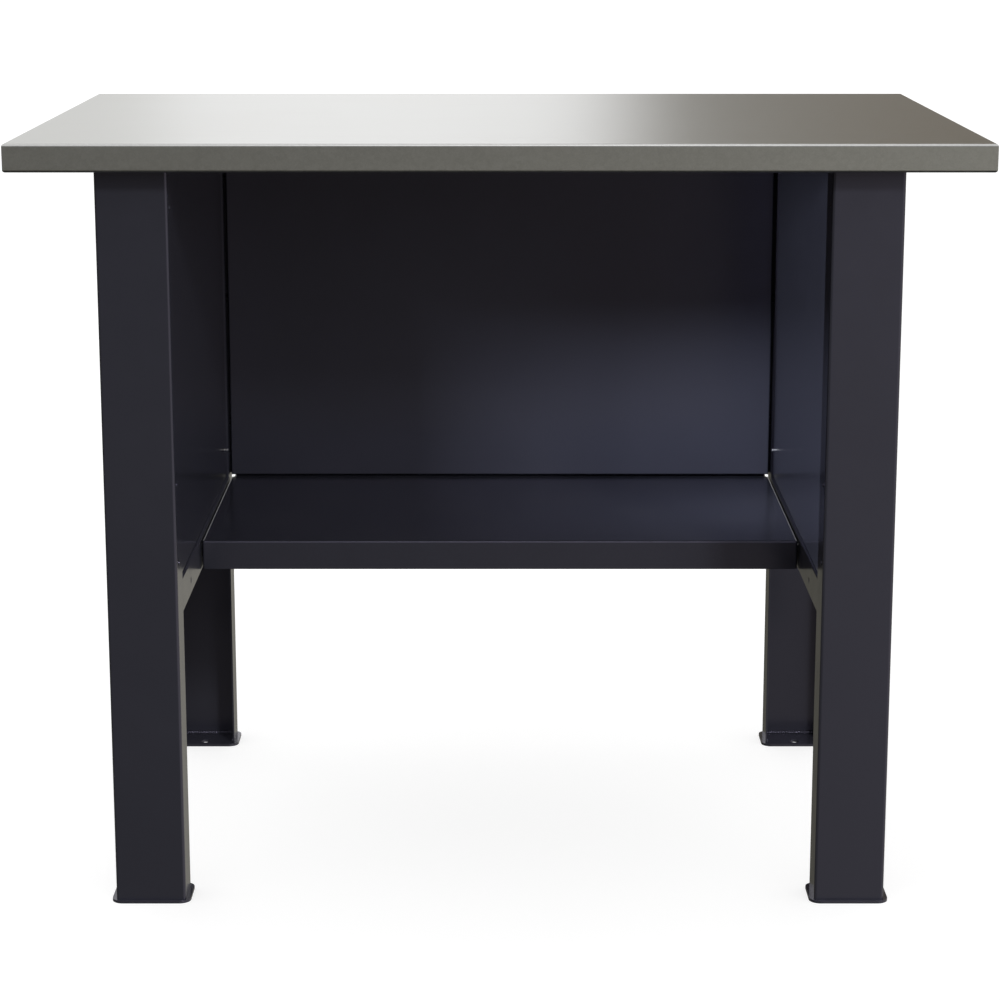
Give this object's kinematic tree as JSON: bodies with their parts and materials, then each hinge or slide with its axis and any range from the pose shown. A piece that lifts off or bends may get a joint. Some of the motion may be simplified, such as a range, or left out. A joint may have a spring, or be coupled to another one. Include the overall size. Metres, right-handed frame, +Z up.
{
  "type": "workbench",
  "caption": "Free-standing steel workbench: metal-clad worktop on folded-sheet legs, with side and back panels and a half-depth shelf.",
  "frame": {"origin": "on the floor under the middle of the worktop", "axes": "+Z up, +X to the right for a person in front of the bench, +Y from front to back"},
  "size_m": [1, 0.68, 0.82],
  "materials": {
    "galvanised_steel": "galvanised sheet with a fine spangle, satin",
    "painted_steel": "dark grey powder coat, semi-gloss",
    "plywood": "bare plywood",
    "zinc_plated_steel": "bright zinc plate"
  },
  "bodies": {
    "root": {"worktop_skin": "galvanised_steel", "worktop_board": "plywood", "worktop_screws": "zinc_plated_steel", "front_leg_left": "painted_steel", "front_leg_right": "painted_steel", "rear_leg_left": "painted_steel", "rear_leg_right": "painted_steel", "front_foot_plate_left": "painted_steel", "front_foot_plate_right": "painted_steel", "rear_foot_plate_left": "painted_steel", "rear_foot_plate_right": "painted_steel", "lower_rail_left": "painted_steel", "lower_rail_right": "painted_steel", "upper_rail_left": "painted_steel", "upper_rail_right": "painted_steel", "side_panel_left": "painted_steel", "side_panel_right": "painted_steel", "back_panel": "painted_steel", "shelf": "painted_steel", "shelf_rib": "painted_steel", "side_panel_rivets": "painted_steel", "back_panel_bolts": "zinc_plated_steel", "back_panel_nuts": "zinc_plated_steel", "back_panel_spacers": "zinc_plated_steel", "shelf_bolts": "zinc_plated_steel", "shelf_nuts": "zinc_plated_steel", "shelf_spacers": "zinc_plated_steel", "panel_pins": "zinc_plated_steel"}
  },
  "joints": []
}
